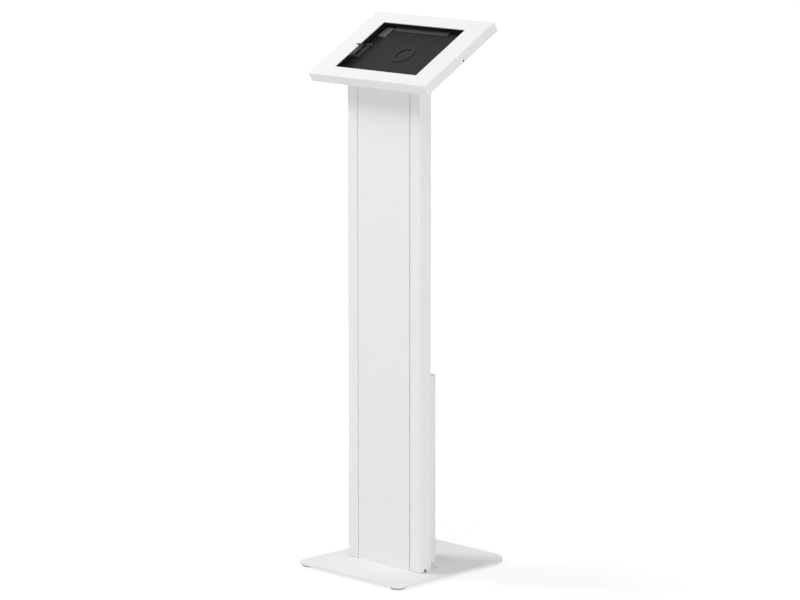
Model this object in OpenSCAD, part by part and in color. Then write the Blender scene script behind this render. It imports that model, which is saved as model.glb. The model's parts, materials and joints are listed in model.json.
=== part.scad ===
// Floor stand that holds a tablet in a locked, tilted case.
// A base plate on four pads carries a folded sheet column with a flush front panel. A cover behind
// the column slides up to reach the leads, and the front frame of the case lifts off square to its face.
// Millimetres, +Z up, -Y to the front, origin on the floor under the middle of the base plate.

/* [Base plate] */
// Width of the base plate, left to right
base_w = 292; // [250:1:400]
// Depth of the base plate, front to back
base_d = 330; // [290:1:450]
// Thickness of the base plate
base_t = 5; // [5:0.5:10]
// Radius of the front corners
base_front_r = 18; // [10:1:60]
// Radius of the rear corners
base_rear_r = 55; // [20:1:100]
// Distance between the two floor-fixing holes
fix_pitch = 181; // [150:1:220]
// Diameter of a floor-fixing hole
fix_d = 6.6; // [5:0.1:9]
// Distance of the floor-fixing holes behind the column
fix_back = 25; // [15:1:60]

/* [Feet] */
// Diameter of a foot pad
foot_d = 30; // [20:1:40]
// Height of a foot pad
foot_h = 5; // [3:0.5:10]
// Least distance from a foot pad to the edge of the plate
foot_edge = 5; // [2:0.5:15]
// Chamfer round the lower rim of a foot pad
foot_chamfer = 1; // [0.5:0.1:2]

/* [Column] */
// Width of the column
col_w = 204; // [190:1:240]
// Depth of the column
col_d = 32; // [28:1:40]
// Distance from the front edge of the plate to the front of the column
col_front = 104.5; // [80:0.5:130]
// Sheet thickness of the column
col_sheet = 1.5; // [1.2:0.1:2.8]
// Inside radius of a fold in the column and the rear cover
bend_r = 0.5; // [0.3:0.1:1.4]
// Width of a front strip
strip_w = 28.5; // [20:0.5:34]
// Width of the ledge behind the front panel
ledge_w = 14; // [13:0.5:20]
// Width of the lead notch at the foot of each side
notch_w = 6.5; // [3:0.5:10]
// Height of the lead notch
notch_h = 5.5; // [4:0.5:10]
// Bore of the grommet in the rear wall
lead_bore = 24; // [12:1:28]
// Height of the rear grommet above the plate
lead_h = 250; // [180:1:340]
// Width of the lead slot at the top of the rear wall
top_slot_w = 90; // [86:1:94]
// Depth of the lead slot below the head
top_slot_d = 42; // [34:1:50]

/* [Front panel] */
// Thickness of the panel
panel_t = 3; // [2.5:0.1:4]
// Radius of the panel's long front edges
panel_edge_r = 0.8; // [0.3:0.1:1.2]
// Groove between the panel and a strip
groove = 1.3; // [0.8:0.1:3]
// Thickness of the tape that holds the panel on the ledges
tape_t = 2; // [2:0.1:3]
// Width of a tape
tape_w = 10; // [6:0.5:11]

/* [Rear cover] */
// Width of the rear cover
cover_w = 123; // [116:1:150]
// Depth of the rear cover
cover_d = 58; // [48:1:80]
// Height of the rear cover
cover_h = 385; // [370:1:420]
// Sheet thickness of the rear cover
cover_sheet = 1.5; // [1:0.1:2]
// Radius of the upright corners
cover_r = 8; // [4:0.5:16]
// Width of the flange that runs behind the rail
flange_w = 13; // [11:0.5:16]
// Running gap of the cover on its rails
cover_gap = 0.4; // [0.3:0.05:0.8]
// Width of the lead outlet at the foot of the cover
outlet_w = 24; // [12:1:40]
// Height of the lead outlet
outlet_h = 16; // [13:1:30]

/* [Cover rails] */
// Sheet thickness of a rail
rail_sheet = 1.5; // [1:0.1:2]
// Width of the leg that is screwed to the column
rail_leg = 15; // [13:0.5:18]
// Width of the lip that holds the cover's flange
rail_lip = 9; // [5:0.5:10]
// Length of a rail
rail_h = 350; // [300:1:360]
// Height of the lower end of a rail above the plate
rail_low = 20; // [15:1:25]
// Distance from a rail's end to its outer screws
rail_screw_end = 25; // [15:1:60]

/* [Column foot] */
// Thickness of the foot bracket
foot_plate_t = 5; // [4:0.5:8]
// Width of the part on the base plate
sole_w = 86; // [76:1:90]
// Depth of the part on the base plate
sole_d = 46; // [40:1:46]
// Distance from the edges of the sole to its screws
sole_edge = 10; // [8.5:0.5:11]
// Width of the part on the column
riser_w = 54; // [48:1:60]
// Height of the part on the column
riser_h = 120; // [90:1:150]
// Thickness of the two stays
stay_t = 4; // [3:0.5:6]
// Distance between the middles of the stays
stay_pitch = 46; // [42:1:48]
// Height of the stays above the sole
stay_h = 80; // [50:1:85]

/* [Head] */
// Width of the head
head_w = 330; // [310:1:360]
// Length of the head up its slope
head_l = 221; // [215:1:250]
// Thickness of the head
head_t = 20; // [19:0.5:26]
// Tilt of the face from level
head_tilt = 30; // [25:1:35]
// Height of the middle of the face above the floor
head_h = 1048; // [1000:1:1200]
// Distance of the middle of the face behind the front of the column
head_back = 47.5; // [44:0.5:52]
// Sheet thickness of the front frame
frame_sheet = 1.5; // [1:0.1:2]
// Outside radius of the folded edges of the face
edge_r = 2.5; // [2.1:0.1:4]
// Radius of the upright corners of the head
corner_r = 3; // [2.1:0.1:6]
// Width of the face beside the window
side_border = 52; // [48:0.5:65]
// Width of the face above and below the window, as their mean
end_border = 32; // [28.5:0.5:40]
// Distance of the window's middle below the middle of the face
window_drop = 2.5; // [0:0.5:4]
// Depth of the camera notch beside the window
camera_w = 9; // [4:0.5:10]
// Width of the camera notch
camera_l = 6; // [3:0.5:8]

/* [Case] */
// Gap between the walls of the frame and the back pan
case_gap = 2.4; // [2.4:0.1:4]
// Sheet thickness of the back pan
pan_sheet = 1.2; // [1:0.1:2]
// Height of the walls of the back pan
pan_wall_h = 11; // [9:0.5:13]
// Relief cut at each corner of the back pan
pan_relief = 5; // [3:0.5:8]
// Distance that the tablet bay reaches past each side of the window
bay_side = 12; // [7:0.5:16]
// Distance that the tablet bay reaches past each end of the window
bay_end = 11.5; // [6.5:0.5:12.5]
// Play of a security screw in its slot, on each side
slot_gap = 1; // [0.5:0.1:1.5]
// Thickness of the floor of the tray
tray_floor = 1.3; // [1:0.1:2]
// Thickness of the walls of the tray
tray_wall = 2; // [1.5:0.1:2.5]
// Corner radius of the tablet bay
bay_r = 3; // [2:0.5:12]
// Width of the rim of the tray
tray_rim = 6; // [3:0.5:7]
// Thickness of the rim of the tray
rim_t = 1.5; // [1:0.1:2]
// Gap between the rim of the tray and the front frame
frame_seat = 0.3; // [0.2:0.05:0.6]
// Bore of the grommet in the middle of the head
head_bore = 36; // [24:1:40]
// Thickness of the web that closes the head grommet
web_t = 1.2; // [0.8:0.1:2]
// Width of the two crossed score lines in the web
score_w = 0.8; // [0.4:0.1:1.5]
// Distance between the screws on the head's square pattern
vesa = 75; // [70:1:80]

/* [Tablet supports] */
// Thickness of the foam
foam_t = 2.5; // [1:0.5:4]
// Width of a foam strip
strip_foam_w = 14; // [8:1:16]
// Distance of the strips from the pad, left to right
strip_pad_gap = 5.5; // [2:0.5:20]
// Distance of the strips from the right wall of the bay
strip_right = 64.5; // [20:0.5:90]
// Distance from a foam strip to the wall of the bay
foam_edge = 3; // [1:0.5:6]
// Width of the foam pad at the left
pad_w = 20; // [10:1:20]
// Length of the foam pad at the left
pad_l = 32; // [20:1:40]
// Distance from the pad to the left wall of the bay
pad_edge = 10; // [3:0.5:10]
// Distance from the pad to the upper wall of the bay
pad_drop = 7; // [5:0.5:20]
// Distance between the middles of the plug bracket's bars
plug_pitch = 40; // [30:1:46]
// Length of the bars of the plug bracket
plug_l = 33; // [30:1:40]
// Width of the bars of the plug bracket
plug_bar = 4.5; // [4:0.1:6]
// Height of the plug bracket
plug_h = 4; // [3:0.5:8]
// Distance of the cross bar from the left wall of the bay
plug_cross = 12; // [8:0.5:16]

/* [Head bracket] */
// Thickness of the inclined plate under the head
mount_t = 3; // [2.5:0.1:4]
// Width of the tongue behind the column
tongue_w = 108; // [104:1:120]
// Reach of the tongue past the middle of the head
tongue_reach = 52; // [46:1:70]
// Thickness of the leg on the rear wall and of the gussets
bracket_t = 3; // [2.5:0.1:4]
// Height of the leg on the rear wall
leg_h = 62; // [55:1:70]
// Height of a gusset's free end under the tongue
gusset_end = 14; // [8:1:30]

/* [Fasteners] */
// Radial gap between a screw and its hole
screw_gap = 0.1; // [0.05:0.01:0.2]
// Diameter of the screws in the foot and the bracket
m6 = 6; // [5:0.5:6]
// Diameter of the countersunk screws in the base
m8 = 8; // [6:0.5:8]
// Diameter of the screws in the head and the rails
m4 = 4; // [3:0.5:4]
// Diameter of the screws in the plug bracket
m3 = 3; // [2:0.5:3]
// Wall of a grommet's neck
grommet_wall = 3; // [2:0.5:4]
// Width of a grommet's flange beyond its neck
grommet_flange = 3; // [2:0.5:4]
// Thickness of a grommet's flange
grommet_t = 1.5; // [1:0.1:2]

/* [Hidden] */
$fn = 64;
white = [0.93, 0.93, 0.93];
black = [0.12, 0.12, 0.13];
grey = [0.42, 0.42, 0.43];
pale = [0.78, 0.78, 0.78];
steel = [0.7, 0.71, 0.73];

// Overrun of a cut past the face that it opens
over = 1;
// Reach of a cutting block that clears the whole head
beyond = head_w + head_l;

plate_top = foot_h + base_t;
col_y = col_front - base_d / 2;
col_rear = col_y + col_d;
strip_in = col_w / 2 - strip_w;
panel_half = strip_in - groove;
rebate_d = panel_t + tape_t;
face_y = col_y + head_back;
cover_y = col_rear + cover_gap;
rail_x = cover_w / 2 - flange_w - cover_gap;
rail_step = 2 * cover_gap + cover_sheet;
floor_z = pan_sheet + tray_floor;
rim_z = head_t - frame_sheet - frame_seat;
pan_w = head_w - 2 * (frame_sheet + case_gap);
pan_l = head_l - 2 * (frame_sheet + case_gap);
window_w = head_w - 2 * side_border;
window_l = head_l - 2 * end_border;
bay_w = window_w + 2 * bay_side;
bay_l = window_l + 2 * bay_end;
lock_z = pan_sheet + m4 / 2 + frame_seat * 2;
lock_nut_t = case_gap - frame_seat;
leg_top = slope_z(col_rear) - top_slot_d;

// Distance from both edges to a foot pad that lies in a corner of radius r
function foot_inset(r) = r - (r - foot_edge - foot_d / 2) / sqrt(2);
// Height of a hexagon nut and width across its corners
function nut_h(d) = 0.8 * d;
function nut_d(d) = 2 * d;
// Height and diameter of a round screw head
function head_height(d) = 0.55 * d;
function head_dia(d) = 1.8 * d;
// Width across the corners of a hexagon socket
function socket_d(d) = 0.6 * d;
// Height of the underside of the inclined plate over a point y, in the part's frame
function slope_z(y) = head_h - (head_t + mount_t) / cos(head_tilt) + (y - face_y) * tan(head_tilt);

// Places a child in the head: x to the right, y up the slope, z out of the face, 0 at the back
module at_head() {
    translate([0, face_y, head_h])
        rotate([head_tilt, 0, 0])
            translate([0, 0, -head_t])
                children();
}

// Places a child on the rear wall of the column, with its z axis to the rear
module on_rear(x, z) {
    translate([x, col_rear, z])
        rotate([-90, 0, 0])
            children();
}

module both_sides() {
    children();
    mirror([1, 0, 0])
        children();
}

module rounded_rect(w, l, r) {
    square([w - 2 * r, l], center = true);
    square([w, l - 2 * r], center = true);
    for (sx = [-1, 1], sy = [-1, 1])
        translate([sx * (w / 2 - r), sy * (l / 2 - r)])
            circle(r);
}

// Quarter of a fold in a sheet of thickness t, with r inside, in the first quadrant
module fold(r, t) {
    intersection() {
        difference() {
            circle(r + t);
            circle(r);
        }
        square(2 * (r + t));
    }
}

// Upright section of a slab, with its two upper corners rounded
module slab_section(w, h, r) {
    translate([-w / 2, 0])
        square([w, h - r]);
    translate([r - w / 2, 0])
        square([w - 2 * r, h]);
    for (s = [-1, 1])
        translate([s * (w / 2 - r), h - r])
            circle(r);
}

// Slab with rolled upper edges that meet in mitres, and rounded upright corners
module rolled_slab(w, l, h, edge, corner) {
    intersection() {
        linear_extrude(h)
            rounded_rect(w, l, corner);
        rotate([90, 0, 0])
            linear_extrude(l, center = true)
                slab_section(w, h, edge);
        rotate([90, 0, 90])
            linear_extrude(w, center = true)
                slab_section(l, h, edge);
    }
}

// Round-headed screw: head above z = 0, shank below, hexagon socket in the head
module screw(d, length) {
    difference() {
        union() {
            cylinder(d = head_dia(d), h = head_height(d));
            translate([0, 0, -length])
                cylinder(d = d, h = length);
        }
        translate([0, 0, head_height(d) / 3])
            cylinder(d = socket_d(d), h = head_height(d), $fn = 6);
    }
}

// Outline of a countersunk screw whose flat face is at z = 0, grown by a gap for its hole
module countersunk(d, length, gap) {
    r = d / 2 + gap;
    translate([0, 0, gap > 0 ? -over : 0])
        cylinder(r = r, h = length + (gap > 0 ? 2 * over : 0));
    cylinder(r1 = 2 * r, r2 = r, h = r);
    if (gap > 0)
        translate([0, 0, -over])
            cylinder(r = 2 * r, h = over);
}

// Countersunk screw with a hexagon socket, from z = 0 up
module flat_screw(d, length) {
    difference() {
        countersunk(d, length, 0);
        translate([0, 0, -over])
            cylinder(d = socket_d(d), h = over + d / 3, $fn = 6);
    }
}

// Hexagon nut from z = 0 down
module nut(d) {
    translate([0, 0, -nut_h(d)])
        difference() {
            cylinder(d = nut_d(d), h = nut_h(d), $fn = 6);
            translate([0, 0, -over])
                cylinder(d = d + 2 * screw_gap, h = nut_h(d) + 2 * over);
        }
}

// Clearance hole for a screw, through a sheet that ends at z = 0
module screw_hole(d, depth) {
    translate([0, 0, -depth - over])
        cylinder(d = d + 2 * screw_gap, h = depth + 2 * over);
}

// Rubber ring with a flange on each face of a wall that lies between z = 0 and z = -wall
module grommet(bore, wall) {
    neck = bore / 2 + grommet_wall;
    rotate_extrude()
        difference() {
            translate([bore / 2, -wall - grommet_t])
                square([grommet_wall + grommet_flange, wall + 2 * grommet_t]);
            translate([neck, -wall])
                square([grommet_flange + over, wall]);
        }
}

// Places of the screws
module foot_screw_places() {
    for (sx = [-1, 1], z = [stay_h + 2 * foot_plate_t, riser_h - 2 * m6])
        on_rear(sx * stay_pitch / 4, plate_top + z)
            children();
}

module base_screw_places() {
    for (sx = [-1, 1], y = [sole_edge, sole_d - sole_edge])
        translate([sx * (sole_w / 2 - sole_edge), col_rear + y, foot_h])
            children();
}

module rail_screw_places() {
    rail_z = plate_top + rail_low;
    for (sx = [-1, 1], z = [rail_screw_end, rail_h / 2, rail_h - rail_screw_end])
        on_rear(sx * (rail_x - rail_leg / 2), rail_z + z)
            children();
}

module bracket_screw_places() {
    for (sx = [-1, 1], z = [2 * m6, leg_h - 2 * m6])
        on_rear(sx * (tongue_w / 2 - bracket_t - 2 * m6), leg_top - z)
            children();
}

module vesa_places() {
    for (sx = [-1, 1], sy = [-1, 1])
        translate([sx * vesa / 2, sy * vesa / 2, 0])
            children();
}

module plug_places() {
    for (sy = [-1, 1])
        translate([plug_l - plug_bar - bay_w / 2, sy * plug_pitch / 2 - window_drop, floor_z + plug_h])
            children();
}

module lock_places() {
    for (sx = [-1, 1])
        translate([sx * head_w / 2, 0, lock_z])
            rotate([0, sx * 90, 0])
                children();
}

// Everything above the underside of the inclined plate
module above_slope() {
    at_head()
        translate([-beyond, -beyond, -mount_t])
            cube(2 * beyond);
}

module base_outline() {
    mid = base_d - base_front_r - base_rear_r;
    translate([-base_w / 2, base_front_r - base_d / 2])
        square([base_w, mid]);
    translate([base_front_r - base_w / 2, -base_d / 2])
        square([base_w - 2 * base_front_r, base_front_r]);
    translate([base_rear_r - base_w / 2, base_d / 2 - base_rear_r])
        square([base_w - 2 * base_rear_r, base_rear_r]);
    both_sides() {
        translate([base_w / 2 - base_front_r, base_front_r - base_d / 2])
            circle(base_front_r);
        translate([base_w / 2 - base_rear_r, base_d / 2 - base_rear_r])
            circle(base_rear_r);
    }
}

module base_plate() {
    color(white)
        difference() {
            translate([0, 0, foot_h])
                linear_extrude(base_t)
                    base_outline();
            for (sx = [-1, 1])
                translate([sx * fix_pitch / 2, col_rear + fix_back, foot_h - over])
                    cylinder(d = fix_d, h = base_t + 2 * over);
            base_screw_places()
                countersunk(m8, base_t + foot_plate_t, screw_gap);
        }
}

module base_screws() {
    color(steel)
        base_screw_places()
            flat_screw(m8, base_t + foot_plate_t);
}

module feet() {
    r = foot_d / 2;
    places = [[base_front_r, -1], [base_rear_r, 1]];
    color(pale)
        for (sx = [-1, 1], p = places)
            translate([sx * (base_w / 2 - foot_inset(p[0])), p[1] * (base_d / 2 - foot_inset(p[0])), 0])
                rotate_extrude()
                    polygon([[0, 0], [r - foot_chamfer, 0], [r, foot_chamfer], [r, foot_h], [0, foot_h]]);
}

// Angle bracket behind the column, with two stays
module column_foot() {
    color(white)
        difference() {
            translate([0, col_rear, plate_top]) {
                translate([-sole_w / 2, 0, 0])
                    cube([sole_w, sole_d, foot_plate_t]);
                translate([-riser_w / 2, 0, 0])
                    cube([riser_w, foot_plate_t, riser_h]);
                for (sx = [-1, 1])
                    translate([sx * stay_pitch / 2 - stay_t / 2, 0, 0])
                        rotate([90, 0, 90])
                            linear_extrude(stay_t)
                                polygon([[0, 0], [sole_d, 0], [sole_d, foot_plate_t],
                                         [foot_plate_t, foot_plate_t + stay_h], [0, foot_plate_t + stay_h]]);
            }
            base_screw_places()
                countersunk(m8, base_t + foot_plate_t, screw_gap);
            foot_screw_places()
                screw_hole(m6, col_sheet);
            foot_screw_places()
                translate([0, 0, foot_plate_t])
                    screw_hole(m6, foot_plate_t);
        }
}

module foot_screws() {
    color(steel)
        foot_screw_places()
            translate([0, 0, foot_plate_t])
                screw(m6, foot_plate_t + col_sheet + nut_h(m6) + over);
}

module foot_nuts() {
    color(steel)
        foot_screw_places()
            translate([0, 0, -col_sheet])
                nut(m6);
}

// Rear wall, side walls, front strips, and the lips and ledges of the rebate, as one folded sheet
module column_section() {
    corner = bend_r + col_sheet;
    side = col_w / 2;
    translate([corner - side, col_d - col_sheet])
        square([col_w - 2 * corner, col_sheet]);
    both_sides() {
        translate([side - corner, col_d - corner])
            fold(bend_r, col_sheet);
        translate([side - col_sheet, corner])
            square([col_sheet, col_d - 2 * corner]);
        translate([side - corner, corner])
            rotate(-90)
                fold(bend_r, col_sheet);
        translate([strip_in + corner, 0])
            square([strip_w - 2 * corner, col_sheet]);
        translate([strip_in + corner, corner])
            rotate(180)
                fold(bend_r, col_sheet);
        translate([strip_in, corner])
            square([col_sheet, rebate_d - bend_r - corner]);
        translate([strip_in - bend_r, rebate_d - bend_r])
            fold(bend_r, col_sheet);
        translate([strip_in - ledge_w, rebate_d])
            square([ledge_w - bend_r, col_sheet]);
    }
}

module column_shell() {
    color(white)
        difference() {
            translate([0, col_y, plate_top])
                linear_extrude(head_h)
                    column_section();
            above_slope();
            for (sx = [-1, 1])
                translate([sx * col_w / 2, col_y + col_d / 2, plate_top])
                    lead_notch();
            translate([-top_slot_w / 2, col_rear - col_sheet - over, leg_top])
                cube([top_slot_w, col_sheet + 2 * over, head_h]);
            on_rear(0, plate_top + lead_h)
                translate([0, 0, -col_sheet - over])
                    cylinder(r = lead_bore / 2 + grommet_wall, h = col_sheet + 2 * over);
            rail_screw_places()
                screw_hole(m4, col_sheet);
            foot_screw_places()
                screw_hole(m6, col_sheet);
            bracket_screw_places()
                screw_hole(m6, col_sheet);
        }
}

// Round-topped notch through a side wall, open at the foot
module lead_notch() {
    r = notch_w / 2;
    rotate([90, 0, 90])
        linear_extrude(4 * col_sheet, center = true) {
            translate([0, notch_h - r])
                circle(r);
            translate([-r, -over])
                square([notch_w, notch_h - r + over]);
        }
}

// Flat panel between the strips, with its long front edges eased
module front_panel() {
    color(white)
        difference() {
            translate([0, col_y + panel_t, plate_top])
                linear_extrude(head_h)
                    mirror([0, 1])
                        slab_section(2 * panel_half, panel_t, panel_edge_r);
            above_slope();
        }
}

// Adhesive tapes between the panel and the ledges
module panel_tapes() {
    tape_x = (strip_in - ledge_w + panel_half) / 2;
    color(black)
        difference() {
            for (sx = [-1, 1])
                translate([sx * tape_x - tape_w / 2, col_y + panel_t, plate_top])
                    cube([tape_w, tape_t, head_h]);
            above_slope();
        }
}

module column_grommet() {
    color(black)
        on_rear(0, plate_top + lead_h)
            grommet(lead_bore, col_sheet);
}

// Joggled strips: a leg on the column, and a lip that leaves room for the cover's flange
module cover_rails() {
    color(white)
        difference() {
            translate([0, col_rear, plate_top + rail_low])
                linear_extrude(rail_h)
                    both_sides() {
                        translate([rail_x - rail_leg, 0])
                            square([rail_leg, rail_sheet]);
                        translate([rail_x - rail_sheet, 0])
                            square([rail_sheet, rail_step + rail_sheet]);
                        translate([rail_x - rail_sheet, rail_step])
                            square([rail_sheet + rail_lip, rail_sheet]);
                    }
            rail_screw_places()
                translate([0, 0, rail_sheet])
                    screw_hole(m4, rail_sheet);
        }
}

module rail_screws() {
    color(steel)
        rail_screw_places()
            translate([0, 0, rail_sheet])
                screw(m4, rail_sheet + col_sheet + over);
}

// Folded wall of the rear cover, from one flange round to the other
module cover_section() {
    corner = bend_r + cover_sheet;
    side = cover_w / 2;
    depth = cover_d - cover_gap;
    translate([cover_r - side, depth - cover_sheet])
        square([cover_w - 2 * cover_r, cover_sheet]);
    both_sides() {
        translate([side - flange_w, 0])
            square([flange_w - corner, cover_sheet]);
        translate([side - corner, corner])
            rotate(-90)
                fold(bend_r, cover_sheet);
        translate([side - cover_sheet, corner])
            square([cover_sheet, depth - cover_r - corner]);
        translate([side - cover_r, depth - cover_r])
            fold(cover_r - cover_sheet, cover_sheet);
    }
}

module cover_top_outline() {
    side = cover_w / 2;
    depth = cover_d - cover_gap;
    translate([-side, 0])
        square([cover_w, depth - cover_r]);
    translate([cover_r - side, 0])
        square([cover_w - 2 * cover_r, depth]);
    both_sides()
        translate([side - cover_r, depth - cover_r])
            circle(cover_r);
}

module rear_cover() {
    r = outlet_w / 2;
    color(white)
        translate([0, cover_y, plate_top + cover_gap])
            difference() {
                union() {
                    linear_extrude(cover_h - cover_gap - cover_sheet)
                        cover_section();
                    translate([0, 0, cover_h - cover_gap - cover_sheet])
                        linear_extrude(cover_sheet)
                            cover_top_outline();
                }
                translate([0, cover_d, outlet_h - r])
                    rotate([90, 0, 0])
                        cylinder(r = r, h = cover_r);
                translate([-r, cover_d - cover_r, -over])
                    cube([outlet_w, cover_r, outlet_h - r + over]);
            }
}

// Inclined plate that caps the column and reaches back under the head
module mount_plate() {
    front = (col_y - face_y - head_t * sin(head_tilt)) / cos(head_tilt);
    rear = front + col_d / cos(head_tilt);
    difference() {
        translate([0, 0, -mount_t]) {
            translate([-col_w / 2, front, 0])
                cube([col_w, rear - front, mount_t]);
            translate([-tongue_w / 2, front, 0])
                cube([tongue_w, tongue_reach - front, mount_t]);
        }
        vesa_places()
            screw_hole(m4, mount_t);
        translate([0, 0, -mount_t - over])
            cylinder(r = head_bore / 2 + grommet_wall, h = mount_t + 2 * over);
    }
}

// Leg on the rear wall, two gussets and the inclined plate, welded into one piece
module head_bracket() {
    gusset_y = face_y + (head_t + mount_t) * sin(head_tilt) + (tongue_reach - bracket_t) * cos(head_tilt);
    weld = mount_t / 2;
    color(white)
        difference() {
            union() {
                at_head()
                    mount_plate();
                translate([-tongue_w / 2, col_rear, leg_top - leg_h])
                    cube([tongue_w, bracket_t, leg_h]);
                for (sx = [-1, 1])
                    translate([sx * (tongue_w - bracket_t) / 2 - bracket_t / 2, 0, 0])
                        rotate([90, 0, 90])
                            linear_extrude(bracket_t)
                                polygon([[col_rear, leg_top - leg_h], [col_rear, slope_z(col_rear) + weld],
                                         [gusset_y, slope_z(gusset_y) + weld],
                                         [gusset_y, slope_z(gusset_y) - gusset_end]]);
            }
            bracket_screw_places()
                translate([0, 0, bracket_t])
                    screw_hole(m6, bracket_t);
        }
}

module bracket_screws() {
    color(steel)
        bracket_screw_places()
            translate([0, 0, bracket_t])
                screw(m6, bracket_t + col_sheet + nut_h(m6) + over);
}

module bracket_nuts() {
    color(steel)
        bracket_screw_places()
            translate([0, 0, -col_sheet])
                nut(m6);
}

module vesa_screws() {
    color(black)
        at_head()
            vesa_places()
                translate([0, 0, floor_z])
                    rotate([180, 0, 0])
                        flat_screw(m4, floor_z + mount_t + nut_h(m4) + over);
}

module vesa_nuts() {
    color(steel)
        at_head()
            vesa_places()
                translate([0, 0, -mount_t])
                    nut(m4);
}

// Grommet closed by a thin web below the floor, scored half through with a cross for a lead
module head_grommet() {
    score_l = head_bore - 2 * grommet_wall;
    color(black)
        at_head() {
            translate([0, 0, floor_z])
                grommet(head_bore, floor_z + mount_t);
            translate([0, 0, floor_z - 2 * web_t])
                difference() {
                    cylinder(d = head_bore + grommet_wall, h = web_t);
                    for (turn = [45, 135])
                        rotate(turn)
                            translate([0, 0, web_t])
                                cube([score_l, score_w, web_t], center = true);
                }
        }
}

// Holes that the floor of the case shares with the bracket
module case_floor_holes() {
    vesa_places()
        translate([0, 0, floor_z])
            rotate([180, 0, 0])
                countersunk(m4, floor_z, screw_gap);
    translate([0, 0, -over])
        cylinder(r = head_bore / 2 + grommet_wall, h = floor_z + 2 * over);
}

// Folded back pan, with relief cuts at the corners and a slot in each side for the security screw
module case_back() {
    slot = m4 + 2 * slot_gap;
    color(white)
        at_head()
            difference() {
                linear_extrude(pan_wall_h)
                    square([pan_w, pan_l], center = true);
                translate([0, 0, pan_sheet])
                    linear_extrude(pan_wall_h)
                        square([pan_w - 2 * pan_sheet, pan_l - 2 * pan_sheet], center = true);
                for (sx = [-1, 1], sy = [-1, 1])
                    translate([sx * pan_w / 2, sy * pan_l / 2, -over])
                        linear_extrude(pan_wall_h + 2 * over)
                            square(2 * pan_relief, center = true);
                for (sx = [-1, 1])
                    translate([sx * pan_w / 2 - slot / 2, -slot / 2, pan_sheet])
                        cube([slot, slot, pan_wall_h]);
                case_floor_holes();
            }
}

// Moulded tray: floor, walls round the tablet bay, a rim, and a gap in the left wall for the plug
module tablet_tray() {
    outer_w = bay_w + 2 * tray_wall;
    outer_l = bay_l + 2 * tray_wall;
    gap_l = plug_pitch + 2 * plug_bar;
    color(black)
        at_head()
            difference() {
                translate([0, -window_drop, 0]) {
                    translate([0, 0, pan_sheet])
                        linear_extrude(rim_z - pan_sheet)
                            rounded_rect(outer_w, outer_l, bay_r + tray_wall);
                    translate([0, 0, rim_z - rim_t])
                        linear_extrude(rim_t)
                            rounded_rect(outer_w + 2 * tray_rim, outer_l + 2 * tray_rim,
                                         bay_r + tray_wall + tray_rim);
                }
                translate([0, -window_drop, floor_z])
                    linear_extrude(head_t)
                        rounded_rect(bay_w, bay_l, bay_r);
                translate([-outer_w / 2 - over, -gap_l / 2 - window_drop, floor_z])
                    cube([tray_wall + 2 * over, gap_l, rim_z - rim_t - floor_z]);
                case_floor_holes();
                plug_places()
                    screw_hole(m3, plug_h + tray_floor);
            }
}

module foam_strip(y) {
    left = pad_edge + pad_w + strip_pad_gap;
    color(grey)
        at_head()
            translate([left - bay_w / 2, y - strip_foam_w / 2, floor_z])
                cube([bay_w - left - strip_right, strip_foam_w, foam_t]);
}

module foam_strip_top() {
    foam_strip(bay_l / 2 - foam_edge - strip_foam_w / 2 - window_drop);
}

module foam_strip_bottom() {
    foam_strip(foam_edge + strip_foam_w / 2 - bay_l / 2 - window_drop);
}

module foam_pad_left() {
    color(grey)
        at_head()
            translate([pad_edge - bay_w / 2, bay_l / 2 - pad_drop - pad_l - window_drop, floor_z])
                cube([pad_w, pad_l, foam_t]);
}

// Two bars that guide the plug, with a cross bar between them
module plug_bracket() {
    color(black)
        at_head()
            difference() {
                translate([-bay_w / 2, -window_drop, floor_z]) {
                    for (sy = [-1, 1])
                        translate([0, sy * plug_pitch / 2 - plug_bar / 2, 0])
                            cube([plug_l, plug_bar, plug_h]);
                    translate([plug_cross, -plug_pitch / 2, 0])
                        cube([plug_bar, plug_pitch, plug_h]);
                }
                plug_places()
                    screw_hole(m3, plug_h);
            }
}

module plug_screws() {
    color(black)
        at_head()
            plug_places()
                screw(m3, plug_h + tray_floor);
}

// Folded frame with mitred corners, the window and the camera notch
module front_frame() {
    color(white)
        at_head()
            difference() {
                rolled_slab(head_w, head_l, head_t, edge_r, corner_r);
                translate([0, 0, -over])
                    rolled_slab(head_w - 2 * frame_sheet, head_l - 2 * frame_sheet,
                                head_t - frame_sheet + over, edge_r - frame_sheet, corner_r - frame_sheet);
                translate([-window_w / 2, -window_l / 2 - window_drop, 0])
                    cube([window_w, window_l, head_t + over]);
                translate([-window_w / 2 - camera_w, -camera_l / 2 - window_drop, 0])
                    cube([camera_w + over, camera_l, head_t + over]);
                lock_places()
                    screw_hole(m4, frame_sheet);
            }
}

// Round nuts pressed into the side walls of the frame
module lock_nuts() {
    color(steel)
        at_head()
            lock_places()
                translate([0, 0, -frame_sheet - lock_nut_t])
                    difference() {
                        cylinder(d = 2 * m4, h = lock_nut_t);
                        translate([0, 0, -over])
                            cylinder(d = m4 + 2 * screw_gap, h = lock_nut_t + 2 * over);
                    }
}

// Headless screws, flush with the walls, whose tips reach into the slots of the back pan
module security_screws() {
    length = frame_sheet + case_gap + pan_sheet + m4 / 2;
    color(black)
        at_head()
            lock_places()
                difference() {
                    translate([0, 0, -length])
                        cylinder(d = m4, h = length);
                    translate([0, 0, -frame_sheet])
                        cylinder(d = socket_d(m4), h = frame_sheet + over, $fn = 6);
                }
}

base_plate();
feet();
base_screws();
column_foot();
foot_screws();
foot_nuts();
column_shell();
front_panel();
panel_tapes();
column_grommet();
cover_rails();
rail_screws();
rear_cover();
head_bracket();
bracket_screws();
bracket_nuts();
vesa_screws();
vesa_nuts();
head_grommet();
case_back();
tablet_tray();
foam_strip_top();
foam_strip_bottom();
foam_pad_left();
plug_bracket();
plug_screws();
front_frame();
lock_nuts();
security_screws();
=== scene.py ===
import json
import math

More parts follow.
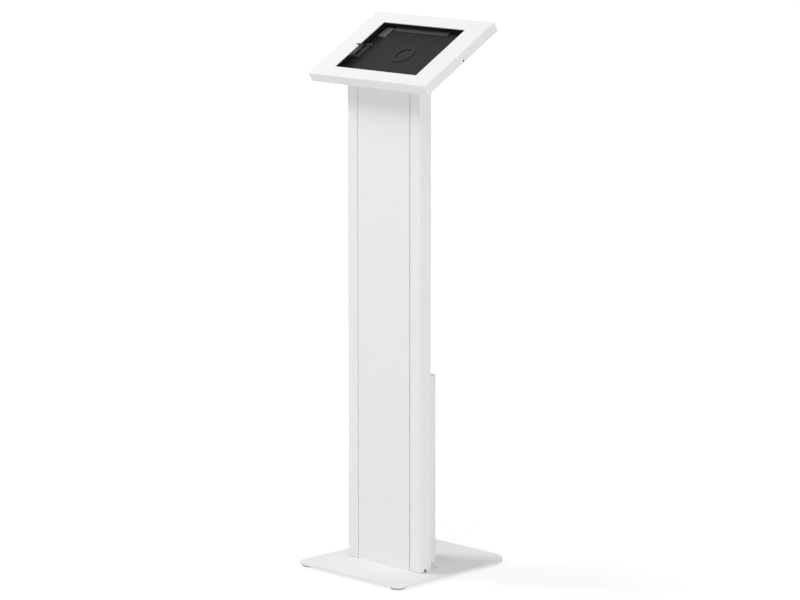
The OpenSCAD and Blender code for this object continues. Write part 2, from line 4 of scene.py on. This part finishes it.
import bpy
import numpy as np
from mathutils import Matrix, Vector


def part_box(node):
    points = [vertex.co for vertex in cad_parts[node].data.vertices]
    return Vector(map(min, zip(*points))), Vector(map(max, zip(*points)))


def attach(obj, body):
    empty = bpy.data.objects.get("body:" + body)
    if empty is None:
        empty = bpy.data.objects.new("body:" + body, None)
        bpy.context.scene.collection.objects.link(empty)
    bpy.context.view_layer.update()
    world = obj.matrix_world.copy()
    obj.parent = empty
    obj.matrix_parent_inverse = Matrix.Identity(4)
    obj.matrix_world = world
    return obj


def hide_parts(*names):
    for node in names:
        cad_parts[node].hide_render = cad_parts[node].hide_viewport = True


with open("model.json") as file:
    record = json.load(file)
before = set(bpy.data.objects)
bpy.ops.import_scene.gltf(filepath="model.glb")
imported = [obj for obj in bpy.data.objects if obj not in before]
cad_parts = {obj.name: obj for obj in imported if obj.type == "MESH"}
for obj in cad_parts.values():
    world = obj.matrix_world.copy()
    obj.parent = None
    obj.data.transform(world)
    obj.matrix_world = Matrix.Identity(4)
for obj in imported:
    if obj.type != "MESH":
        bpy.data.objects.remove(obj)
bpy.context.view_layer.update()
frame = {"nodes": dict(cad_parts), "record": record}
scene = bpy.context.scene
scene.view_settings.view_transform = "Standard"
mm = 0.001

# Camera: three-quarter view from the front right, through a long lens
cameraSetup = {
    "azimuth": 45.262,                        # degrees to the right of straight ahead
    "elevation": 10.074,                      # degrees above level
    "distance": 6.9357,                       # metres from the target
    "target": (0.0456, -0.0595, 0.5552),
    "focalPixels": 3516,                      # focal length in pixels of the 800 wide picture
    "pictureWidth": 800,
    "sensor": 36,                             # width in millimetres
}


def placeCamera(setup):
    azimuth, elevation = math.radians(setup["azimuth"]), math.radians(setup["elevation"])
    level = math.cos(elevation)
    away = Vector((math.sin(azimuth) * level, -math.cos(azimuth) * level, math.sin(elevation)))
    data = bpy.data.cameras.new("photoCamera")
    data.sensor_width = setup["sensor"]
    data.lens = setup["sensor"] * setup["focalPixels"] / setup["pictureWidth"]
    camera = bpy.data.objects.new("photoCamera", data)
    scene.collection.objects.link(camera)
    camera.location = Vector(setup["target"]) + away * setup["distance"]
    camera.rotation_euler = (-away).to_track_quat("-Z", "Y").to_euler()
    scene.camera = camera


placeCamera(cameraSetup)
print("camera: placed")


# Materials
def linearColour(hexText):      # sRGB hex to the linear values that shaders take
    parts = [int(hexText[i:i + 2], 16) / 255 for i in (1, 3, 5)]
    return tuple(c / 12.92 if c <= 0.04045 else ((c + 0.055) / 1.055) ** 2.4 for c in parts) + (1.0,)


def addNode(tree, kind, settings=None, links=None):      # one node with its settings and links
    node = tree.nodes.new(kind)
    for key, value in (settings or {}).items():
        if isinstance(key, str) and hasattr(node, key):
            setattr(node, key, value)
        else:
            node.inputs[key].default_value = value
    for key, socket in (links or {}).items():
        tree.links.new(socket, node.inputs[key])
    return node


def perMetre(sizeMm):            # texture scale for a feature of that size
    return 1 / (sizeMm * mm)


cloudLook = {"detail": 3.0, "roughness": 0.55,      # how fine the cloud's own noise is
             "low": 0.1, "high": 0.9}               # values of the cloud at the two ends of the gloss


def surface(name, look):
    # grain of two sizes: a cloud that shifts colour and roughness a little, and a fine grain that is bump
    material = bpy.data.materials.new(name)
    material.use_nodes = True
    tree = material.node_tree
    shader = tree.nodes["Principled BSDF"]
    place = addNode(tree, "ShaderNodeTexCoord").outputs["Object"]
    cloud = addNode(tree, "ShaderNodeTexNoise",
                    {"Scale": perMetre(look["cloud"]), "Detail": cloudLook["detail"],
                     "Roughness": cloudLook["roughness"]},
                    {"Vector": place}).outputs["Fac"]
    colour = addNode(tree, "ShaderNodeMix",
                     {"data_type": "RGBA", 6: linearColour(look["dark"]), 7: linearColour(look["pale"])},
                     {0: cloud}).outputs[2]
    if "paintedShadeGap" in look:                # painted shade: ambient occlusion darkens the colour in gaps narrower than this
        colour = addNode(tree, "ShaderNodeAmbientOcclusion", {"Distance": look["paintedShadeGap"] * mm},
                         {"Color": colour}).outputs["Color"]
    tree.links.new(colour, shader.inputs["Base Color"])
    grain = addNode(tree, look.get("pattern", "ShaderNodeTexNoise"), {"Scale": perMetre(look["grain"])},
                    {"Vector": place}).outputs[look.get("output", "Fac")]
    gloss = addNode(tree, "ShaderNodeMapRange",
                    {"From Min": cloudLook["low"], "From Max": cloudLook["high"],
                     "To Min": look["roughness"][0], "To Max": look["roughness"][1]},
                    {"Value": cloud}).outputs[0]
    tree.links.new(gloss, shader.inputs["Roughness"])
    bump = addNode(tree, "ShaderNodeBump", {"Strength": look["bump"], "Distance": look["depth"] * mm},
                   {"Height": grain}).outputs["Normal"]
    tree.links.new(bump, shader.inputs["Normal"])
    shader.inputs["Metallic"].default_value = look.get("metallic", 0.0)
    shader.inputs["Specular IOR Level"].default_value = look.get("specular", 0.5)
    return material


# polyester powder coat on steel sheet: satin white, with the faint orange peel of cured powder,
# whose 1 mm cells are drawn at 3 mm so that they show at all
coatLook = {"pale": "#F2F2F2", "dark": "#EFEFEF", "cloud": 120, "grain": 3.0, "bump": 0.2, "depth": 0.05,
            "roughness": (0.50, 0.58), "specular": 0.3}
powderCoat = surface("powderCoatedSteel", coatLook)
# the same coat on the folded column, with painted shade darkening its colour down in the narrow grooves
# beside the panel
grooveShadeCoat = surface("powderCoatedColumn", {**coatLook, "paintedShadeGap": 1.8})
# moulded ABS with a deep spark-eroded grain: near black, almost matt, grain drawn at 1.2 mm
blackAbs = surface("mouldedBlackAbs", {
    "pale": "#333334", "dark": "#2E2E2F", "cloud": 40, "grain": 1.2, "bump": 0.4, "depth": 0.06,
    "roughness": (0.60, 0.68), "specular": 0.06})
# the same ABS for the small holder, a step paler than the floor it stands on: painted light, standing in
# for the light that falls on the left of the tray
litAbs = surface("mouldedAbsPaintedLight", {
    "pale": "#5A5A5C", "dark": "#515153", "cloud": 30, "grain": 1.2, "bump": 0.4, "depth": 0.06,
    "roughness": (0.52, 0.60), "specular": 0.3})
# soft PVC of the head grommet: near black, with about the gloss of the floor round it
softPvc = surface("softBlackPvc", {
    "pale": "#383839", "dark": "#343435", "cloud": 20, "grain": 1.0, "bump": 0.3, "depth": 0.04,
    "roughness": (0.60, 0.68), "specular": 0.08})
# closed-cell polyethylene foam, die cut: matt grey, pitted by cells of about 1.5 mm
greyFoam = surface("closedCellFoam", {
    "pale": "#7A7A7C", "dark": "#6A6A6C", "cloud": 12, "grain": 1.5, "bump": 0.8, "depth": 0.3,
    "pattern": "ShaderNodeTexVoronoi", "output": "Distance", "roughness": (0.85, 0.95), "specular": 0.2})
# the same foam for the two strips, with finer cells; its darker colour is painted shade, standing in for
# the shade that falls along the strips
shadedFoam = surface("cellFoamPaintedShade", {
    "pale": "#535355", "dark": "#49494B", "cloud": 12, "grain": 1.2, "bump": 0.8, "depth": 0.25,
    "pattern": "ShaderNodeTexVoronoi", "output": "Distance", "roughness": (0.85, 0.95), "specular": 0.2})
# moulded nitrile rubber: matt black, with a dull bloom
blackRubber = surface("mouldedRubber", {
    "pale": "#232323", "dark": "#1A1A1A", "cloud": 15, "grain": 0.8, "bump": 0.4, "depth": 0.05,
    "roughness": (0.66, 0.78), "specular": 0.4})
# pale grey thermoplastic rubber of the pads, a little dusty
padRubber = surface("paleFootRubber", {
    "pale": "#C9C9C7", "dark": "#BDBDBB", "cloud": 20, "grain": 1.0, "bump": 0.4, "depth": 0.05,
    "roughness": (0.62, 0.74), "specular": 0.4})
# bright zinc plate on steel: pale grey metal with a slightly mottled passivation
zincPlate = surface("zincPlatedSteel", {
    "pale": "#CDD0D4", "dark": "#BEC2C8", "cloud": 5, "grain": 0.6, "bump": 0.3, "depth": 0.02,
    "roughness": (0.26, 0.38), "metallic": 1.0})
# black oxide on steel: dark, oily metal
blackOxide = surface("blackOxideSteel", {
    "pale": "#232326", "dark": "#1B1B1E", "cloud": 4, "grain": 0.5, "bump": 0.3, "depth": 0.02,
    "roughness": (0.36, 0.48), "metallic": 1.0})
# acrylic foam tape: matt, near black, with a fine cell
foamTape = surface("acrylicFoamTape", {
    "pale": "#262626", "dark": "#1E1E1E", "cloud": 10, "grain": 0.8, "bump": 0.6, "depth": 0.1,
    "roughness": (0.86, 0.94), "specular": 0.2})
print("materials: made")

# Finish and softened edge, in millimetres, of every node of the stand
nodeFinish = {
    "base_plate": (powderCoat, 0.8),
    "column_foot": (powderCoat, 0.5),
    "column_shell": (grooveShadeCoat, 0.3),
    "front_panel": (powderCoat, 0.3),
    "cover_rails": (powderCoat, 0.3),
    "rear_cover": (powderCoat, 0.4),
    "head_bracket": (powderCoat, 0),       # edges as cut: its plates are welded flush
    "case_back": (powderCoat, 0.3),
    "front_frame": (powderCoat, 0.3),
    "tablet_tray": (blackAbs, 0.4),
    "plug_bracket": (litAbs, 0.6),
    "feet": (padRubber, 0.6),
    "column_grommet": (blackRubber, 0.5),
    "head_grommet": (softPvc, 0.25),
    "panel_tapes": (foamTape, 0.2),
    "base_screws": (zincPlate, 0.25),
    "foot_screws": (zincPlate, 0.4),
    "foot_nuts": (zincPlate, 0.3),
    "rail_screws": (zincPlate, 0.3),
    "bracket_screws": (zincPlate, 0.4),
    "bracket_nuts": (zincPlate, 0.3),
    "vesa_nuts": (zincPlate, 0.25),
    "lock_nuts": (zincPlate, 0.25),
    "vesa_screws": (blackOxide, 0.3),
    "plug_screws": (blackOxide, 0.25),
    "security_screws": (blackOxide, 0.15),
}
edgeLook = {
    "join": 0.001,            # millimetres within which loose corners meet
    "flat": 0.5, "hard": 40,  # degrees between faces: cleared below the first, rounded above the second
    "segments": 2,
    "weight": 100,            # lets the large flat faces decide the shading
}


def softenEdges(cadObject, width, look):      # joins loose triangles, rounds hard edges, keeps flats flat
    weld = cadObject.modifiers.new("joinCorners", "WELD")
    weld.merge_threshold = look["join"] * mm
    flat = cadObject.modifiers.new("clearFlats", "DECIMATE")
    flat.decimate_type = "DISSOLVE"
    flat.angle_limit = math.radians(look["flat"])
    bevel = cadObject.modifiers.new("softEdge", "BEVEL")
    bevel.width = width
    bevel.segments = look["segments"]
    bevel.limit_method = "ANGLE"
    bevel.angle_limit = math.radians(look["hard"])
    bevel.harden_normals = True
    even = cadObject.modifiers.new("evenShade", "WEIGHTED_NORMAL")
    even.mode = "FACE_AREA"
    even.weight = look["weight"]
    even.keep_sharp = True


for nodeName, (finish, edge) in nodeFinish.items():
    cadObject = frame["nodes"][nodeName]
    cadObject.data.materials.clear()
    cadObject.data.materials.append(finish)
    if edge:
        softenEdges(cadObject, edge * mm, edgeLook)
print("finishes: on", len(nodeFinish), "nodes")


def ringSurface(name, points, finish):      # joins each ring of points to the next, and closes both ends
    rings, around = points.shape[:2]
    first = np.arange((rings - 1) * around).reshape(rings - 1, around)
    quads = np.stack([first, np.roll(first, -1, 1), np.roll(first, -1, 1) + around, first + around], -1)
    last = np.arange(around)
    faces = quads.reshape(-1, 4).tolist() + [last[::-1].tolist(), (last + (rings - 1) * around).tolist()]
    mesh = bpy.data.meshes.new(name)
    mesh.from_pydata(points.reshape(-1, 3).tolist(), [], faces)
    mesh.shade_smooth()
    mesh.materials.append(finish)
    piece = bpy.data.objects.new(name, mesh)
    scene.collection.objects.link(piece)
    return piece


# Foam in the tray: die-cut pieces stuck to the floor, each in the place of its CAD node
headNormal = np.array(next(joint["axis"] for joint in frame["record"]["behaviour"]["joints"]
                           if joint["child"] == "front_frame"))
upSlope = np.array([0.0, headNormal[2], -headNormal[1]])


def tiltedSize(node):            # middle, and sizes along x, up the slope and square to the face
    low, high = (np.array(corner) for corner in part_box(node))
    sizeX, spanY, spanZ = high - low
    sine, cosine = upSlope[2], upSlope[1]
    length = (spanY * cosine - spanZ * sine) / (cosine ** 2 - sine ** 2)
    height = (spanZ * cosine - spanY * sine) / (cosine ** 2 - sine ** 2)
    return (low + high) / 2, sizeX, length, height


def foamPiece(name, node, finish, look):
    # each ring is a rounded rectangle drawn in by the profile's inset; the profile runs from the foot
    # up a side that is drawn in at mid height, round the upper edge in a quarter circle, and over a
    # crown that rises with the sine of the way to the middle
    middle, sizeX, length, height = tiltedSize(node)
    edge, crown, waist = look["edge"] * mm, look["crown"] * mm, look["waist"] * mm
    side = np.linspace(0, 1, look["sideRings"])
    turn = np.linspace(0, math.pi / 2, look["edgeRings"])[1:]
    over = np.linspace(0, 1, look["crownRings"])[1:]
    reach = min(sizeX, length) / 2 - edge - look["core"] * mm
    inset = np.concatenate([waist * np.sin(math.pi * side), edge * (1 - np.cos(turn)), edge + reach * over])
    rise = np.concatenate([(height - crown - edge) * side, height - crown - edge + edge * np.sin(turn),
                           height - crown + crown * np.sin(over * math.pi / 2)])
    angle = np.linspace(0, 2 * math.pi, look["around"], endpoint=False)
    power = 2 / look["square"]           # a superellipse, close to a rectangle with small round corners
    flatX = np.sign(np.cos(angle)) * np.abs(np.cos(angle)) ** power
    flatY = np.sign(np.sin(angle)) * np.abs(np.sin(angle)) ** power
    x = flatX[None] * (sizeX / 2 - inset)[:, None]
    y = flatY[None] * (length / 2 - inset)[:, None]
    z = np.repeat((rise - height / 2)[:, None], len(angle), 1)
    points = (middle + x[..., None] * np.array([1.0, 0, 0])
              + y[..., None] * upSlope + z[..., None] * headNormal)
    piece = ringSurface(name, points, finish)
    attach(piece, "stand")
    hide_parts(node)


foamLook = {
    "edge": 0.7, "crown": 0.35,          # radius of the upper edge, rise of the top
    "waist": 0.25, "core": 1.0,          # draw-in of the sides, half width at which the crown ends
    "square": 14, "fill": 0.9,           # sharpness of the corners, share that is foam
    "sideRings": 5, "edgeRings": 5, "crownRings": 6, "around": 160,
}
for pieceName, node, finish in (("topFoamStrip", "foam_strip_top", shadedFoam),
                                ("bottomFoamStrip", "foam_strip_bottom", shadedFoam),
                                ("leftFoamPad", "foam_pad_left", greyFoam)):
    foamPiece(pieceName, node, finish, foamLook)
print("foam: three pieces")

# Fillet welds, under the powder coat, that join the plates of the head bracket and of the column foot
weldLook = {
    "leg": 2.6, "ripple": 0.12, "pitch": 2.6, "end": 4.0,      # size, swelling, its spacing, rounded ends
    "sunk": 0.2, "step": 0.4, "around": 8, "point": 0.001,     # depth in the corner, rings, least end
    "gussetX": 51.0, "legPlate": 3.0, "slopePlate": 3.0,       # inner face of a gusset, bracket's plates
    "stayX": 25.0, "footPlate": 5.0,                           # outer face of a stay, plates of the foot
    "slopeSpan": (8.0, 76.0),            # ends of each seam: down the slope from the gusset's tip,
    "legSpan": (9.0, 60.0),              # up from the bracket's lower edge,
    "soleInset": (4.0, 3.0),             # in from the riser and from the rear edge of the sole,
    "riserSpan": (4.0, 76.0),            # and up from the sole
}


def weldBead(name, start, end, firstSide, secondSide, look):
    # each ring is a quarter circle from one plate to the other about the corner where they meet; its
    # radius swells with the size of a sine along the seam, and falls at both ends as a quarter ellipse
    firstSide, secondSide = np.array(firstSide, float), np.array(secondSide, float)
    if np.cross(firstSide, secondSide) @ (end - start) < 0:      # keeps the faces outwards
        start, end = end, start
    length = np.linalg.norm(end - start)
    along = np.linspace(0, length, round(length / (look["step"] * mm)))
    fromEnd = np.clip(np.minimum(along, length - along) / (look["end"] * mm), look["point"], 1)
    swell = 1 + look["ripple"] * np.abs(np.sin(math.pi * along / (look["pitch"] * mm)))
    radius = look["leg"] * mm * swell * np.sqrt(1 - (1 - fromEnd) ** 2)
    angle = np.linspace(0, math.pi / 2, look["around"])[:, None]
    spread = np.vstack([np.cos(angle) * firstSide + np.sin(angle) * secondSide, np.zeros((1, 3))])
    path = start + (along / length)[:, None] * (end - start) - look["sunk"] * mm * (firstSide + secondSide)
    bead = ringSurface(name, path[:, None] + radius[:, None, None] * spread, powderCoat)
    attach(bead, "stand")


def makeWelds(look):
    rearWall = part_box("column_shell")[1][1]
    bracketLow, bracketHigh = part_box("head_bracket")
    footLow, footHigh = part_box("column_foot")
    legFace, riserFace = rearWall + look["legPlate"] * mm, rearWall + look["footPlate"] * mm
    soleTop = footLow[2] + look["footPlate"] * mm
    under = bracketHigh[2] - look["slopePlate"] * mm * upSlope[1]      # lower rear edge of the slope
    for side, word in ((-1, "Left"), (1, "Right")):
        gusset, stay = side * look["gussetX"] * mm, side * look["stayX"] * mm
        tip = np.array([gusset, bracketHigh[1], under])
        slopeEnds = [tip - reach * mm * upSlope for reach in look["slopeSpan"]]
        legEnds = [np.array([gusset, legFace, bracketLow[2] + rise * mm]) for rise in look["legSpan"]]
        soleEnds = [np.array([stay, riserFace + look["soleInset"][0] * mm, soleTop]),
                    np.array([stay, footHigh[1] - look["soleInset"][1] * mm, soleTop])]
        riserEnds = [np.array([stay, riserFace, soleTop + rise * mm]) for rise in look["riserSpan"]]
        weldBead("bracketSlopeWeld" + word, *slopeEnds, (-side, 0, 0), -headNormal, look)
        weldBead("bracketLegWeld" + word, *legEnds, (-side, 0, 0), (0, 1, 0), look)
        weldBead("footSoleWeld" + word, *soleEnds, (side, 0, 0), (0, 0, 1), look)
        weldBead("footRiserWeld" + word, *riserEnds, (side, 0, 0), (0, 1, 0), look)


makeWelds(weldLook)
print("welds: eight beads")

# Floor, world and lights
studio = {
    "floorSize": 60.0,            # metres, so that its edge lies past the picture
    "floorShade": "#F4F4F4",
    "floorGlow": (0.80, 1.0),     # share of white that the camera sees without any light, near and far
    "glowReach": (0.4, 1.6),      # distances from the stand between which that share grows
    "floorLit": 0.25,             # share that the lamps add, so that the shadow stays
    "worldLight": 0.474,          # even light from all round
    "lamps": {                    # place, width and height, power in watts; each looks at the target
        "keyLamp": ((-2.75, -1.55, 3.2), (1.2, 1.2), 77.4),      # high at the left
        "fillLamp": ((3.34, -1.35, 0.6), (2.8, 1.1), 35.4),      # wide and low at the right
        "topLamp": ((0.6, -0.8, 2.4), (1.0, 1.0), 5.4),          # over the head
    },
    "lampTarget": (0.0, 0.0, 0.6),
}


def seenDirectly(tree, path):      # 1 for rays from the camera, a reflection or clear glass
    first = addNode(tree, "ShaderNodeMath", {"operation": "MAXIMUM"},
                    {0: path.outputs["Is Camera Ray"], 1: path.outputs["Is Glossy Ray"]})
    both = addNode(tree, "ShaderNodeMath", {"operation": "MAXIMUM"},
                   {0: first.outputs[0], 1: path.outputs["Is Transmission Ray"]})
    return both.outputs[0]


def makeFloor(setup):
    half = setup["floorSize"] / 2
    corners = np.array([[-1, -1, 0], [1, -1, 0], [1, 1, 0], [-1, 1, 0]]) * half
    mesh = bpy.data.meshes.new("studioFloor")
    mesh.from_pydata(corners.tolist(), [], [(0, 1, 2, 3)])
    floor = bpy.data.objects.new("studioFloor", mesh)
    scene.collection.objects.link(floor)
    material = bpy.data.materials.new("studioPaper")
    material.use_nodes = True
    tree = material.node_tree
    tree.nodes.clear()
    path = addNode(tree, "ShaderNodeLightPath")
    seen = seenDirectly(tree, path)
    plain = addNode(tree, "ShaderNodeBsdfDiffuse", {"Color": linearColour(setup["floorShade"])})
    lit = addNode(tree, "ShaderNodeBsdfDiffuse", {"Color": (setup["floorLit"],) * 3 + (1,)})
    away = addNode(tree, "ShaderNodeVectorMath", {"operation": "LENGTH"},
                   {0: addNode(tree, "ShaderNodeTexCoord").outputs["Object"]})
    share = addNode(tree, "ShaderNodeMapRange",
                    {"From Min": setup["glowReach"][0], "From Max": setup["glowReach"][1],
                     "To Min": setup["floorGlow"][0], "To Max": setup["floorGlow"][1]},
                    {"Value": away.outputs["Value"]})
    glow = addNode(tree, "ShaderNodeEmission", {}, {"Strength": share.outputs[0]})
    shown = addNode(tree, "ShaderNodeAddShader", {}, {0: lit.outputs[0], 1: glow.outputs[0]})
    both = addNode(tree, "ShaderNodeMixShader", {}, {0: seen, 1: plain.outputs[0], 2: shown.outputs[0]})
    addNode(tree, "ShaderNodeOutputMaterial", {}, {"Surface": both.outputs[0]})
    mesh.materials.append(material)


def makeWorld(setup):
    world = bpy.data.worlds.new("studioWorld")
    scene.world = world
    world.use_nodes = True
    tree = world.node_tree
    tree.nodes.clear()
    path = addNode(tree, "ShaderNodeLightPath")
    light = addNode(tree, "ShaderNodeBackground", {"Strength": setup["worldLight"]})
    white = addNode(tree, "ShaderNodeBackground", {"Strength": 1.0})
    light.inputs["Color"].default_value = white.inputs["Color"].default_value = (1, 1, 1, 1)
    both = addNode(tree, "ShaderNodeMixShader", {},
                   {0: seenDirectly(tree, path), 1: light.outputs[0], 2: white.outputs[0]})
    addNode(tree, "ShaderNodeOutputWorld", {}, {"Surface": both.outputs[0]})


def makeLamp(name, place, size, power, target):
    data = bpy.data.lights.new(name, "AREA")
    data.energy = power
    data.shape = "RECTANGLE"
    data.size, data.size_y = size
    lamp = bpy.data.objects.new(name, data)
    scene.collection.objects.link(lamp)
    lamp.location = place
    aim = Vector(target) - Vector(place)
    lamp.rotation_euler = aim.to_track_quat("-Z", "Y").to_euler()


makeFloor(studio)
makeWorld(studio)
for lampName, (place, size, power) in studio["lamps"].items():
    makeLamp(lampName, place, size, power, studio["lampTarget"])
print("studio: lit")
